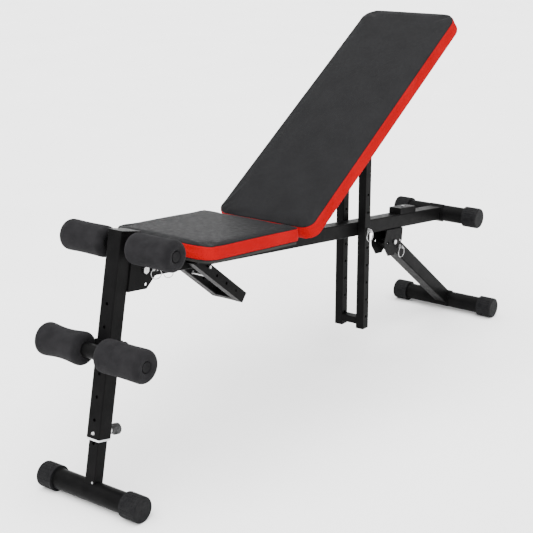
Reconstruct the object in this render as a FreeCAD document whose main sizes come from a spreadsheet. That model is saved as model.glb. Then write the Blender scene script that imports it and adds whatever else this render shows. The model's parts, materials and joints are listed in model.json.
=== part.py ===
"""Decline sit-up bench: a folding steel frame with a telescoping front post, foam leg rollers, an adjustable seat and
backrest on ladder supports, and an adjustable rear leg. Millimetres, +Z up, +Y towards the rear of the bench, +X towards
the bench's left-hand side as a user lies on it. The origin is on the floor midway between the two foot tubes."""

import FreeCAD, Part
import math
import os
import re

import Sketcher

doc = FreeCAD.newDocument("DeclineBench")
sheet = doc.addObject("Spreadsheet::Sheet", "Sizes")
guesses = doc.addObject("Spreadsheet::Sheet", "Guesses")

SIZES = {
    # Whole bench
    "bench_half": (802, "half the distance between the foot tube axes"),
    "post_lean": (13.55, "rearward lean of the front post, degrees"),
    "rail_drop": (7.71, "rearward fall of the main rail, degrees"),
    "seat_drop": (6.14, "rearward fall of the seat, degrees"),
    "back_rise": (31.87, "rise of the backrest, degrees"),
    "leg_drop": (39.024, "fall of the rear leg, degrees"),
    "seat_ladder_drop": (40, "fall of the seat ladder, degrees"),
    "back_ladder_lean": (1.98, "rearward lean of the backrest ladder, degrees"),
    # Tubes
    "foot_radius": (25, "outer radius of the foot tubes and the rear cross bar"),
    "tube_wall": (2, "wall of the heavy tubes"),
    "thin_wall": (1.5, "wall of the outer post and the light tubes"),
    "rail_side": (40, "side of the main rail and the outer post"),
    "rail_round": (3, "corner radius of the heavy square tubes"),
    "inner_side": (30, "side of the inner post"),
    "leg_wide": (39.4, "width of the rear leg between its plates"),
    "seat_tube": (20, "side of the seat's frame tubes"),
    "back_tube": (25, "side of the backrest's frame tubes"),
    "light_round": (2, "corner radius of the light square tubes"),
    # Feet
    "cap_radius": (31, "outer radius of the rubber end caps"),
    "cap_length": (48, "length of the rubber end caps"),
    "cap_end": (5, "thickness of a cap's closed end"),
    "cap_plain": (7, "plain ring at a cap's open end"),
    "rib_groove": (1.8, "radius of the grooves between a cap's ribs"),
    "front_foot_half": (157, "front foot's middle to a cap's end"),
    "rear_foot_half": (178, "rear foot's middle to a cap's end"),
    "cross_bar_half": (145.5, "rear cross bar's middle to a cap's end"),
    "saddle_half": (24, "half the length of a tube saddle"),
    "saddle_wall": (2.9, "wall of a tube saddle"),
    "saddle_open": (6, "open edge of a saddle from its tube's axis"),
    # Front post, along s from the foot axis and d rearward from the post axis
    "inner_top": (400, "top of the inner post"),
    "outer_low": (127, "lower end of the outer post"),
    "outer_top": (603, "upper end of the outer post"),
    "hole_radius": (4, "radius of every adjustment hole"),
    "inner_hole_first": (115, "first hole of the inner post"),
    "inner_hole_pitch": (25, "pitch of the inner post's holes"),
    "outer_hole_first": (170.2, "first hole of the outer post"),
    "outer_hole_pitch": (53.6, "pitch of the outer post's holes"),
    "bush_lip": (5, "height of the plastic bush's lip"),
    "bush_lip_side": (38.4, "side of the bush's lip"),
    "bush_side": (36.8, "outer side of the bush's sleeve"),
    "bush_top": (160, "top of the bush's sleeve"),
    "bush_bore": (30.8, "bore of the bush"),
    "pull_height": (140, "height of the spring pull knob"),
    "rivet_height": (139, "height of the bush's rivet"),
    "rivet_radius": (2.5, "radius of the rivet and of the stop block's screw"),
    "rivet_crest": (3.2, "outer radius of the rivet's tapered head"),
    "rivet_head": (4.6, "inner radius of the rivet's tapered head"),
    "rivet_high": (2.2, "height of the rivet's head"),
    "screw_x": (10, "foot screw beside the post's middle"),
    "screw_radius": (2.6, "radius of the foot screw's washer"),
    "screw_high": (2.4, "height of the foot screw and its washer"),
    "pivot_s": (516.8, "height of the rail's pivot along the post"),
    "pivot_d": (68.3, "rail's pivot behind the post axis"),
    "bolt_radius": (5, "radius of the two pivot bolts"),
    "post_bolt_head": (9.5, "corner radius of the front pivot bolt's head"),
    "leg_bolt_head": (7.5, "corner radius of the rear pivot bolt's head"),
    "bolt_head": (5, "height of every bolt's head and nut"),
    "bolt_end": (2, "length of a bolt beyond its nut"),
    "bracket_low_s": (466.5, "front bracket's lower front corner along the post"),
    "bracket_knee_d": (81, "front bracket's lower rear corner behind the post axis"),
    "bracket_knee_s": (472.3, "that corner along the post"),
    "bracket_rear_d": (120, "front bracket's rear corner behind the post axis"),
    "bracket_rear_s": (520, "that corner along the post"),
    "bracket_high_d": (112.5, "front bracket's upper rear corner behind the post axis"),
    "bracket_high_s": (556.5, "that corner along the post"),
    "lid_rear": (41, "rear edge of the front bracket's lid"),
    "folded_hole_d": (77, "lock hole of the folded post behind the post axis"),
    "folded_hole_s": (483, "that hole along the post"),
    "running_fit": (0.05, "radial clearance of a pin that turns"),
    "side_gap": (0.4, "clearance beside the rail"),
    "plate": (3, "thickness of the pivot plates"),
    "web": (2.5, "thickness of folded sheet"),
    # Rollers
    "axle_radius": (12.5, "outer radius of the roller axles"),
    "axle_half": (161, "half length of the upper axle"),
    "upper_axle_s": (571, "height of the upper axle along the post"),
    "upper_axle_d": (6, "upper axle behind the post axis"),
    "lower_axle_s": (329.3, "height of the lower axle along the post"),
    "lower_axle_d": (-42.5, "lower axle in front of the post axis"),
    "lower_axle_half": (154, "half length of the lower axle"),
    "foam_radius": (36.5, "outer radius of the upper rollers"),
    "low_foam_radius": (39.3, "outer radius of the lower rollers"),
    "foam_inner": (36.7, "inner end of an upper roller"),
    "foam_outer": (167.5, "outer end of an upper roller"),
    "low_foam_inner": (27, "inner end of a lower roller"),
    "low_foam_outer": (161, "outer end of a lower roller"),
    "foam_clear": (0.3, "clearance of the foam on its axle"),
    "foam_round": (12, "rounding of the foam's ends"),
    "plug_length": (3, "thickness of an axle's end plug"),
    "plug_stem": (12, "length of an end plug inside its axle"),
    "plug_lip": (0.3, "end plug's edge inside the axle's outer radius"),
    "collar_radius": (17, "radius of the collar inside each roller"),
    "collar_length": (3, "length of the collar inside each roller"),
    # Carriage of the lower rollers
    "sleeve_side": (46.8, "outer side of the sliding sleeve"),
    "sleeve_bore": (40.8, "bore of the sliding sleeve"),
    "sleeve_low": (305, "lower end of the sleeve"),
    "sleeve_top": (355, "upper end of the sleeve"),
    "hub_radius": (17, "radius of the hub around the lower axle"),
    "hub_half": (23.4, "half length of that hub"),
    "hub_arm": (14, "half height of the arm between the hub and the sleeve"),
    "knob_s": (331, "height of the carriage's pull knob"),
    # Pull knobs, by their distance behind the post axis
    "pin_fit": (0.3, "clearance of a pull pin in its nose"),
    "pull_gap": (0.4, "clearance of a pull pin in the post"),
    "nose_radius": (9, "radius of the noses that the pull pins slide in"),
    "nose_rear": (34, "rear end of the post's nose"),
    "sleeve_nose_rear": (30, "rear end of the carriage's nose"),
    "pull_front": (36, "front end of the post's pull knob"),
    "pull_waist": (44, "rear end of its neck"),
    "pull_shoulder": (49, "front end of its grip"),
    "pull_rear": (60, "rear end of its grip"),
    "pull_pin_rear": (56, "rear end of its pin"),
    "pull_neck": (10, "radius of its neck"),
    "pull_grip": (13.6, "radius of its grip"),
    "grip_front": (31, "front end of the carriage's knob"),
    "grip_shoulder": (38, "front end of its grip"),
    "grip_rear": (56, "rear end of its grip"),
    "grip_neck": (9, "radius of its neck"),
    "grip_cone": (14, "radius of its cone"),
    "grip_radius": (15, "radius of its grip"),
    "knurl_radius": (1.3, "radius of a knob's grooves"),
    # Main rail, along t from the pivot and n up from its centre line
    "rail_front": (-26, "front end of the main rail"),
    "rail_length": (1376, "pivot to the rear cross bar's axis"),
    "lock_t": (28, "pivot to the post's lock hole"),
    "seat_lock_t": (193.8, "rail hole of the seat ladder's lock pin"),
    "seat_lock_n": (-13.2, "that hole below the centre line"),
    "back_lock_t": (892, "rail hole of the backrest ladder's lock pin"),
    "stop_front": (1113, "front end of the backrest's stop block"),
    "stop_rear": (1200, "rear end of the stop block"),
    "stop_high": (18, "height of the stop block"),
    "stop_screw_head": (5, "radius of the stop block's screw head"),
    "leg_pivot_t": (1086, "rear leg's pivot along the rail"),
    "leg_pivot_n": (-59, "rear leg's pivot below the centre line"),
    "leg_plate_front": (1028, "front end of the rear leg's bracket"),
    "leg_plate_rear": (1129, "rear end of the bracket"),
    "leg_plate_low": (-99, "lowest point of the bracket"),
    "leg_plate_toe": (-66, "height of the bracket's front corner"),
    "leg_plate_heel": (-58, "height of the bracket's rear corner"),
    "lug_plate": (4, "thickness of the hinge lugs, angles and arms"),
    "seat_lug": (8, "radius of the seat's hinge lugs"),
    "back_lug": (10.5, "radius of the backrest's hinge lugs"),
    "lug_low": (-10, "lower edge of the hinge lugs"),
    "hinge_gap": (0.4, "gap between a lug and the arm beside it"),
    "leg_lock": (34.5, "rear leg's pivot to its lock pin"),
    "leg_head": (22, "rear leg's end beyond its pivot"),
    "leg_length": (448.267, "rear leg's pivot to the rear foot's axis"),
    # Seat, along u from the front reference and n up from the top surface
    "seat_y": (-522.5, "seat's reference point along the bench"),
    "seat_z": (574, "seat's reference point above the floor"),
    "pad_half": (156, "half the width of both pads"),
    "seat_front": (-20, "front end of the seat"),
    "seat_rear": (331, "rear end of the seat"),
    "seat_thick": (38, "thickness of the seat's padding"),
    "seat_board": (6, "thickness of the seat's board"),
    "board_inset": (4, "boards inside the padding's edge"),
    "seat_round": (40, "radius of the seat's front corners"),
    "seat_rear_round": (12, "radius of the seat's rear corners"),
    "seat_rail_in": (52, "inner side of the seat's rails"),
    "seat_rail_front": (40, "front end of the seat's rails"),
    "seat_rail_rear": (300, "rear end of the seat's rails"),
    "angle_front": (30, "seat's hinge angle in front of its axis"),
    "angle_rear": (9, "hinge angle's leaf behind its axis"),
    "angle_flange": (-9, "rear end of the angle's flange from its axis"),
    "angle_low": (8, "hinge angle's leaf below its axis"),
    "seat_hinge_u": (318, "seat's hinge axis along the seat"),
    "seat_hinge_n": (-52.5, "seat's hinge axis below the surface"),
    "seat_pin_radius": (4, "radius of the seat's hinge pin and ladder bolts"),
    "seat_ladder_u": (64.85, "seat ladder's pivot along the seat"),
    "seat_ladder_n": (-55.9, "seat ladder's pivot below the surface"),
    "seat_ladder_length": (230, "seat ladder's pivot to its lower end"),
    "seat_bar_low": (-18, "underside of the seat ladder's bars"),
    "seat_bar_high": (10, "upper side of the seat ladder's bars"),
    "seat_hole_n": (-4, "spare holes of the seat ladder's bars"),
    "ladder_rod_u": (94, "seat ladder's pivot to its rod"),
    "ladder_rod_n": (-10.5, "that rod below the pivot's line"),
    "rod_radius": (3.2, "radius of the seat ladder's rod"),
    "rod_washer": (4.6, "radius of the rod's washers"),
    "washer_thick": (1.5, "thickness of the rod's washers"),
    "ladder_bolt_head": (7.5, "corner radius of the seat ladder's bolt heads"),
    "ladder_in": (24, "inner side of both ladders' bars"),
    "ladder_side": (25, "width of both ladders' bars"),
    "ladder_deep": (14, "half the depth of the backrest ladder's bars"),
    "seat_ladder_lock": (51.8, "seat ladder's pivot to its lock pin"),
    "seat_ladder_pitch": (45, "pitch of the seat ladder's holes"),
    # Backrest, along u from the upper reference and n up from the top surface
    "back_y": (437, "backrest's reference point along the bench"),
    "back_z": (891.8, "backrest's reference point above the floor"),
    "back_low": (-700, "lower end of the backrest"),
    "back_top": (163, "upper end of the backrest"),
    "back_thick": (45, "thickness of the backrest's padding"),
    "back_board": (10, "thickness of the board let into its underside"),
    "back_round": (48, "radius of the backrest's top corners"),
    "back_low_round": (35, "radius of the backrest's lower corners"),
    "back_rail_in": (52, "inner side of the backrest's rails"),
    "back_rail_low": (-655, "lower end of the backrest's rails"),
    "back_rail_top": (62, "upper end of the backrest's rails"),
    "back_hinge_u": (-690, "backrest's hinge axis along the backrest"),
    "back_hinge_n": (-56, "backrest's hinge axis below the surface"),
    "back_ladder_u": (-221, "backrest ladder's pivot along the backrest"),
    "back_ladder_n": (-59.5, "backrest ladder's pivot below the surface"),
    "back_arm_half": (8, "half height of the backrest's hinge arms"),
    "back_ladder_length": (619, "backrest ladder's pivot to its lower end"),
    "back_step": (12, "backrest ladder's crossbar above its lower end"),
    "back_ladder_lock": (327, "backrest ladder's pivot to its lock pin"),
    "back_ladder_pitch": (51.2, "pitch of the backrest ladder's holes"),
    "back_bolt_radius": (5, "radius of the backrest's hinge pin and ladder bolt"),
    "back_bolt_head": (8.5, "corner radius of the backrest ladder's bolt head"),
    "hinge_reach": (28.8, "hinge pins' middle to the inner side of their heads"),
    # Lock pins
    "pin_radius": (3.7, "radius of a lock pin"),
    "pin_short": (0.9, "gap between a lock pin's tip and the piece it locks"),
    "flange_radius": (6.2, "radius of a lock pin's flange"),
    "flange_near": (0.3, "gap under a lock pin's flange"),
    "flange_far": (3, "outer side of a lock pin's flange from the face"),
    "tab_high": (4.5, "half height of a lock pin's tab"),
    "tab_wide": (1, "half thickness of a lock pin's tab"),
    "tab_long": (10, "length of a lock pin's tab"),
    "tab_hole": (2.5, "radius of the ring's hole in a tab"),
    "ring_radius": (15.5, "middle radius of the rear rings"),
    "ring_wire": (1, "wire radius of the rear rings"),
    "small_ring_radius": (12.4, "middle radius of the front rings"),
    "small_ring_wire": (0.9, "wire radius of the front rings"),
    "ring_turn": (30, "turn of the front rings about the vertical, degrees"),
    "crank_out": (26, "seat lock pin's crank outside the bar"),
    "crank_down": (27, "drop of the seat lock pin's crank"),
    "pin_end": (8, "seat lock pin's end outside the near bar"),
}

RIBS = 24  # grooves round an end cap
THROUGH = 100  # reach of a drilling tool past both sides of any piece
OVER = 1  # how far a cutting tool runs past the piece
LEG_STEEP = -61  # rear leg's steep lock hole about its pivot, degrees from the rail

for row, (alias, (value, meaning)) in enumerate(SIZES.items(), start=1):
    sheet.set(f"A{row}", meaning)
    sheet.set(f"B{row}", str(value))
    sheet.setAlias(f"B{row}", alias)
doc.recompute()


def size(alias):
    """The number in a cell of the sheet."""
    return float(getattr(sheet, alias))


def with_sheet(formula):
    """The formula with every alias written as the sheet's own cell."""

    def cell(word):
        return "Sizes." + word.group() if word.group() in SIZES else word.group()

    return re.sub(r"[a-z][a-z0-9_]*", cell, str(formula))


def bind(piece, prop, formula):
    piece.setExpression(prop, with_sheet(formula))


def put(piece, x, y, z):
    for axis, place in zip("xyz", (x, y, z)):
        bind(piece, "Placement.Base." + axis, place)
    return piece


def block(x0, x1, y0, y1, z0, z1):
    """A block between two corners."""
    piece = doc.addObject("Part::Box", "block")
    bind(piece, "Length", f"({x1}) - ({x0})")
    bind(piece, "Width", f"({y1}) - ({y0})")
    bind(piece, "Height", f"({z1}) - ({z0})")
    return put(piece, x0, y0, z0)


TURNS = {
    "x": FreeCAD.Rotation(FreeCAD.Vector(0, 1, 0), 90),
    "y": FreeCAD.Rotation(FreeCAD.Vector(1, 0, 0), -90),
    "z": FreeCAD.Rotation(),
}


def rod(axis, radius, low, high, across, up):
    """A round bar along an axis, from low to high, centred at the two other coordinates, in order."""
    piece = doc.addObject("Part::Cylinder", "rod")
    piece.Placement = FreeCAD.Placement(FreeCAD.Vector(), TURNS[axis])
    bind(piece, "Radius", radius)
    bind(piece, "Height", f"({high}) - ({low})")
    places = {"x": (low, across, up), "y": (across, low, up), "z": (across, up, low)}
    return put(piece, *places[axis])


def cone(axis, radius_low, radius_high, low, high, across, up):
    """A tapered round bar, as rod."""
    piece = doc.addObject("Part::Cone", "cone")
    piece.Placement = FreeCAD.Placement(FreeCAD.Vector(), TURNS[axis])
    bind(piece, "Radius1", radius_low)
    bind(piece, "Radius2", radius_high)
    bind(piece, "Height", f"({high}) - ({low})")
    places = {"x": (low, across, up), "y": (across, low, up), "z": (across, up, low)}
    return put(piece, *places[axis])


def plate(points, x0, x1):
    """A sheet of constant thickness along X, cut to an outline of (y, z) points."""
    sketch = doc.addObject("Sketcher::SketchObject", "outline")
    sketch.Placement = FreeCAD.Placement(
        FreeCAD.Vector(), FreeCAD.Rotation(FreeCAD.Vector(1, 1, 1), 120)
    )
    count = len(points)
    corners = [FreeCAD.Vector(*(number(value) for value in point), 0) for point in points]
    for index in range(count):
        line = Part.LineSegment(corners[index], corners[(index + 1) % count])
        sketch.addGeometry(line, False)
    for index in range(count):
        sketch.addConstraint(
            Sketcher.Constraint("Coincident", index, 2, (index + 1) % count, 1)
        )
    for index, (along, up) in enumerate(points):
        for kind, formula, value in (
            ("DistanceX", along, corners[index].x),
            ("DistanceY", up, corners[index].y),
        ):
            held = sketch.addConstraint(Sketcher.Constraint(kind, -1, 1, index, 1, value))
            bind(sketch, f"Constraints[{held}]", formula)
    bind(sketch, "Placement.Base.x", x0)
    solid = doc.addObject("Part::Extrusion", "plate")
    solid.Base = sketch
    solid.DirMode = "Custom"
    solid.Dir = FreeCAD.Vector(1, 0, 0)
    solid.Solid = True
    bind(solid, "LengthFwd", f"({x1}) - ({x0})")
    return solid


def number(formula):
    """A formula of the sheet's cells worked out, for a first guess that the expression then holds."""
    if isinstance(formula, (int, float)):
        return float(formula)
    guesses.set("A1", "=" + with_sheet(formula))
    guesses.recompute()
    return float(guesses.get("A1"))


def fuse(*pieces):
    piece = doc.addObject("Part::MultiFuse", "fuse")
    piece.Shapes = list(pieces)
    piece.Refine = True
    return piece


def cut(base, *tools):
    piece = doc.addObject("Part::Cut", "cut")
    piece.Base = base
    piece.Tool = tools[0] if len(tools) == 1 else fuse(*tools)
    return piece


def group(*pieces):
    """Separate solids that share one node."""
    piece = doc.addObject("Part::Compound", "group")
    piece.Links = list(pieces)
    return piece


def mirrored(source):
    """The same piece on the bench's other side."""
    piece = doc.addObject("Part::Mirroring", "mirrored")
    piece.Source = source
    piece.Base = FreeCAD.Vector()
    piece.Normal = FreeCAD.Vector(1, 0, 0)
    return piece


def pair(source):
    return group(source, mirrored(source))


def rounded(base, *rules):
    """Rounds straight edges. A rule is a direction, the sheet's radius and a test of the edge's middle."""
    doc.recompute()
    edges = []
    for index, edge in enumerate(base.Shape.Edges, start=1):
        if edge.Curve.TypeId != "Part::GeomLine":
            continue
        run = edge.tangentAt(edge.FirstParameter)
        middle = edge.CenterOfMass
        for direction, alias, test in rules:
            if abs(getattr(run, direction)) > 0.999 and test(middle):
                edges.append((index, size(alias), size(alias)))
                break
    piece = doc.addObject("Part::Fillet", "rounded")
    piece.Base = base
    piece.Edges = edges
    return piece


def anywhere(_):
    return True


def square_tube(axis, sides, low, high, wall, corner="rail_round"):
    """A hollow tube with rounded corners. sides are its four outer faces, in order."""
    a0, a1, b0, b1 = sides
    inset = (f"({a0}) + {wall}", f"({a1}) - {wall}", f"({b0}) + {wall}", f"({b1}) - {wall}")
    if axis == "y":
        outer = block(a0, a1, low, high, b0, b1)
        bore = block(inset[0], inset[1], f"({low}) - {OVER}", f"({high}) + {OVER}", inset[2], inset[3])
    else:
        outer = block(a0, a1, b0, b1, low, high)
        bore = block(*inset, f"({low}) - {OVER}", f"({high}) + {OVER}")
    return cut(rounded(outer, (axis, corner, anywhere)), bore)


def hex_head(radius, low, high, along, up):
    """A hexagon along X, its radius taken to the corners."""
    piece = doc.addObject("Part::Prism", "hexagon")
    piece.Polygon = 6
    piece.Placement = FreeCAD.Placement(FreeCAD.Vector(), TURNS["x"])
    bind(piece, "Circumradius", radius)
    bind(piece, "Height", f"({high}) - ({low})")
    return put(piece, low, along, up)


def bolt(radius, head, low, high, along, up):
    """A through bolt along X with a head at high and a nut at low."""
    shank = rod("x", radius, f"{low} - bolt_head - bolt_end", high, along, up)
    crown = hex_head(head, high, f"{high} + bolt_head", along, up)
    nut = hex_head(head, f"{low} - bolt_head", low, along, up)
    return fuse(shank, crown, nut)


# Frames. Each has its own axes: X as the bench's, then along, then up, turned about X.
def frame(along, up, angle):
    return FreeCAD.Placement(
        FreeCAD.Vector(0, along, up), FreeCAD.Rotation(FreeCAD.Vector(1, 0, 0), angle)
    )


def place_in(base, along, up):
    """A point of a frame, in the bench's own axes."""
    return base.multVec(FreeCAD.Vector(0, along, up))


def frame_at(point, angle):
    return frame(point.y, point.z, angle)


POST = frame(-size("bench_half"), size("cap_radius"), -size("post_lean"))
RAIL = frame_at(place_in(POST, size("pivot_d"), size("pivot_s")), -size("rail_drop"))
LEG = frame_at(place_in(RAIL, size("leg_pivot_t"), size("leg_pivot_n")), -size("leg_drop"))
SEAT = frame(size("seat_y"), size("seat_z"), -size("seat_drop"))
SEAT_LADDER = frame_at(
    place_in(SEAT, size("seat_ladder_u"), size("seat_ladder_n")), -size("seat_ladder_drop")
)
BACK = frame(size("back_y"), size("back_z"), size("back_rise"))
BACK_LADDER = frame_at(
    place_in(BACK, size("back_ladder_u"), size("back_ladder_n")), -size("back_ladder_lean")
)
SEAT_HINGE = RAIL.inverse().multVec(place_in(SEAT, size("seat_hinge_u"), size("seat_hinge_n")))
BACK_HINGE = RAIL.inverse().multVec(place_in(BACK, size("back_hinge_u"), size("back_hinge_n")))

NODES = {}


def node(name, piece, base):
    """Names a finished sub-part and settles it in its frame. A bound place would override the frame's."""
    if piece.ExpressionEngine:
        piece = group(piece)
    piece.Label = name
    piece.Placement = base
    NODES[name] = piece


# Feet
def end_cap(half):
    """A ribbed rubber cap on the +X end of a round tube along X, about the tube's axis."""
    inner = f"{half} - cap_length"
    body = rod("x", "cap_radius", inner, half, 0, 0)
    doc.recompute()
    crown = doc.addObject("Part::Fillet", "crown")
    crown.Base = body
    crown.Edges = [
        (index, size("cap_end"), size("cap_end"))
        for index, edge in enumerate(body.Shape.Edges, start=1)
        if edge.Curve.TypeId == "Part::GeomCircle" and edge.CenterOfMass.x > number(half) - OVER
    ]
    bore = rod("x", "foot_radius", f"{inner} - {OVER}", f"{half} - cap_end", 0, 0)
    grooves = []
    for rib in range(RIBS):
        angle = math.radians((rib + 0.5) * 360 / RIBS)
        along = f"(cap_radius + rib_groove / 2) * {math.cos(angle):.6f}"
        up = f"(cap_radius + rib_groove / 2) * {math.sin(angle):.6f}"
        grooves.append(rod("x", "rib_groove", f"{inner} + cap_plain", f"{half} + {OVER}", along, up))
    return cut(crown, bore, *grooves)


def round_tube(half):
    tube_end = f"{half} - cap_end"
    outer = rod("x", "foot_radius", f"-({tube_end})", tube_end, 0, 0)
    bore = rod("x", "foot_radius - tube_wall", f"-({half})", half, 0, 0)
    return cut(outer, bore)


def saddle():
    """The half ring welded round a cross tube where a square tube meets it from -Y."""
    outer = rod("x", "foot_radius + saddle_wall", "-saddle_half", "saddle_half", 0, 0)
    low = f"-saddle_half - {OVER}"
    high = f"saddle_half + {OVER}"
    inner = rod("x", "foot_radius", low, high, 0, 0)
    rear_half = block(low, high, "-saddle_open", "2 * foot_radius", "-2 * foot_radius", "2 * foot_radius")
    return cut(outer, inner, rear_half)


FRONT_FOOT = frame(-size("bench_half"), size("cap_radius"), 0)
REAR_FOOT_POINT = place_in(LEG, size("leg_length"), 0)
REAR_FOOT = frame(REAR_FOOT_POINT.y, REAR_FOOT_POINT.z, 0)
CROSS_BAR = frame_at(place_in(RAIL, size("rail_length"), 0), -size("rail_drop"))

node("front_foot_tube", round_tube("front_foot_half"), FRONT_FOOT)
node("front_foot_caps", pair(end_cap("front_foot_half")), FRONT_FOOT)
node("rear_foot_tube", round_tube("rear_foot_half"), REAR_FOOT)
node("rear_foot_caps", pair(end_cap("rear_foot_half")), REAR_FOOT)
node("rear_foot_saddle", saddle(), frame_at(REAR_FOOT_POINT, -size("leg_drop")))
node("cross_bar", round_tube("cross_bar_half"), CROSS_BAR)
node("cross_bar_caps", pair(end_cap("cross_bar_half")), CROSS_BAR)
node("cross_bar_saddle", saddle(), CROSS_BAR)


# Front post
def post_holes(first, pitch, count, reach):
    """A row of holes through the front and rear faces of the post."""
    return [
        rod("y", "hole_radius", f"-{reach}", reach, 0, f"{first} + {index} * {pitch}")
        for index in range(count)
    ]


def inner_post():
    half = "inner_side / 2"
    tube = square_tube("z", (f"-{half}", half, f"-{half}", half), 0, "inner_top", "tube_wall", "light_round")
    foot = rod("x", "foot_radius", "-inner_side", "inner_side", 0, 0)
    return cut(tube, foot, *post_holes("inner_hole_first", "inner_hole_pitch", 12, "inner_side"))


def outer_post():
    half = "rail_side / 2"
    tube = square_tube("z", (f"-{half}", half, f"-{half}", half), "outer_low", "outer_top", "thin_wall")
    axle = rod("x", "axle_radius", "-rail_side", "rail_side", "upper_axle_d", "upper_axle_s")
    pull = rod("y", "hole_radius + pull_gap", 0, "rail_side", 0, "pull_height")
    rivet = rod("y", "rivet_radius", "-rail_side", 0, 0, "rivet_height")
    return cut(tube, axle, pull, rivet, *post_holes("outer_hole_first", "outer_hole_pitch", 6, "rail_side"))


def post_bush():
    lip_half = "bush_lip_side / 2"
    half = "bush_side / 2"
    lip = block(f"-{lip_half}", lip_half, f"-{lip_half}", lip_half, "outer_low - bush_lip", "outer_low")
    sleeve = block(f"-{half}", half, f"-{half}", half, "outer_low", "bush_top")
    reach = "bush_bore / 2"
    bore = block(f"-{reach}", reach, f"-{reach}", reach, "outer_low - 2 * bush_lip", f"bush_top + {OVER}")
    pull = rod("y", "hole_radius + pull_gap", 0, "rail_side", 0, "pull_height")
    rivet = rod("y", "rivet_radius", "-rail_side", 0, 0, "rivet_height")
    return cut(fuse(rounded(lip, ("z", "light_round", anywhere)), sleeve), bore, pull, rivet)


def bush_rivet():
    front = "-rail_side / 2"
    shank = rod("y", "rivet_radius", front, "-bush_bore / 2 - 0.2", 0, "rivet_height")
    head = cone("y", "rivet_crest", "rivet_head", f"{front} - rivet_high", front, 0, "rivet_height")
    return fuse(shank, head)


def foot_bolt():
    """The screw that holds the inner post down on the front foot's tube."""
    front = "-inner_side / 2"
    middle = f"{front} - screw_high / 2"
    washer = rod("y", "screw_radius", middle, front, "screw_x", "foot_radius")
    head = rod("y", "screw_radius / 2", f"{front} - screw_high", middle, "screw_x", "foot_radius")
    return fuse(washer, head)


def through(radius, along, up):
    """A drill along X through both sides of a piece."""
    return rod("x", radius, -THROUGH, THROUGH, along, up)


RELATIVE_RAIL = math.radians(size("post_lean") - size("rail_drop"))


def front_bracket():
    """The channel behind the post that carries the rail's pivot bolt and lock pin."""
    outside = "rail_side / 2 + side_gap + plate"
    inside = "rail_side / 2 + side_gap"
    front = "rail_side / 2"
    outline = [
        (front, "bracket_low_s"),
        ("bracket_knee_d", "bracket_knee_s"),
        ("bracket_rear_d", "bracket_rear_s"),
        ("bracket_high_d", "bracket_high_s"),
        ("lid_rear", "outer_top"),
        (front, "outer_top"),
    ]
    cheek = plate(outline, inside, outside)
    cheek = rounded(cheek, ("x", "rail_round", lambda middle: middle.y > size("pivot_d")))
    web = block(f"-({outside})", outside, front, f"{front} + plate", "bracket_low_s", "outer_top")
    lid = block(f"-({outside})", outside, f"-{front}", "lid_rear", "outer_top", "outer_top + web")
    body = fuse(cheek, mirrored(cheek), web, lid)
    lock_along = f"pivot_d + lock_t * {math.cos(RELATIVE_RAIL):.6f}"
    lock_up = f"pivot_s + lock_t * {math.sin(RELATIVE_RAIL):.6f}"
    bolt_hole = through("bolt_radius + running_fit", "pivot_d", "pivot_s")
    pin_hole = through("hole_radius", lock_along, lock_up)
    folded_hole = through("hole_radius", "folded_hole_d", "folded_hole_s")
    return cut(body, bolt_hole, pin_hole, folded_hole)


def axle(half, along, up, collars):
    tube = rod("x", "axle_radius", f"-{half}", half, along, up)
    rings = []
    for side in (-1, 1):
        near = f"{collars} - foam_clear - collar_length"
        far = f"{collars} - foam_clear"
        low, high = (near, far) if side > 0 else (f"-({far})", f"-({near})")
        rings.append(rod("x", "collar_radius", low, high, along, up))
    bore = rod("x", "axle_radius - thin_wall", f"-{half} - {OVER}", f"{half} + {OVER}", along, up)
    return cut(fuse(tube, *rings), bore)


def axle_plugs(half, along, up):
    """The domed plastic plugs in an axle's open ends."""
    flange = rod("x", "axle_radius - plug_lip", half, f"{half} + plug_length", along, up)
    stem = rod("x", "axle_radius - thin_wall", f"{half} - plug_stem", half, along, up)
    return pair(fuse(flange, stem))


def pull_housing():
    """The threaded nose of a spring pull, welded on the rear of the post."""
    nose = rod("y", "nose_radius", "rail_side / 2", "nose_rear", 0, "pull_height")
    bore = rod("y", "pin_radius + pin_fit", 0, f"nose_rear + {OVER}", 0, "pull_height")
    return cut(nose, bore)


def knurled(base, radius, low, high, up, count):
    """Grooves along the pull's axis all round a knob."""
    grooves = []
    for index in range(count):
        angle = 2 * math.pi * index / count
        across = f"({radius} + knurl_radius / 2) * {math.cos(angle):.6f}"
        height = f"{up} + ({radius} + knurl_radius / 2) * {math.sin(angle):.6f}"
        grooves.append(rod("y", "knurl_radius", low, high, across, height))
    return cut(base, *grooves)


def post_pull_knob():
    place = (0, "pull_height")
    neck = rod("y", "pull_neck", "pull_front", "pull_waist", *place)
    flare = cone("y", "pull_neck", "pull_grip", "pull_waist", "pull_shoulder", *place)
    grip = rod("y", "pull_grip", "pull_shoulder", "pull_rear", *place)
    shank = rod("y", "pin_radius", "nose_rear", "pull_pin_rear", *place)
    body = cut(fuse(neck, flare, grip), shank)
    return knurled(body, "pull_grip", f"pull_shoulder + {OVER}", f"pull_rear + {OVER}", "pull_height", 16)


def post_pull_pin():
    return rod("y", "pin_radius", "inner_side / 2 + pin_short", "pull_pin_rear", 0, "pull_height")


node("inner_post", inner_post(), POST)
node("foot_bolt", foot_bolt(), POST)
node("outer_post", outer_post(), POST)
node("post_bush", post_bush(), POST)
node("bush_rivet", bush_rivet(), POST)
node("front_bracket", front_bracket(), POST)
node("upper_axle", axle("axle_half", "upper_axle_d", "upper_axle_s", "foam_inner"), POST)
node("upper_axle_plugs", axle_plugs("axle_half", "upper_axle_d", "upper_axle_s"), POST)
node("post_pull_housing", pull_housing(), POST)
node("post_pull_pin", post_pull_pin(), POST)
node("post_pull_knob", post_pull_knob(), POST)


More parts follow.
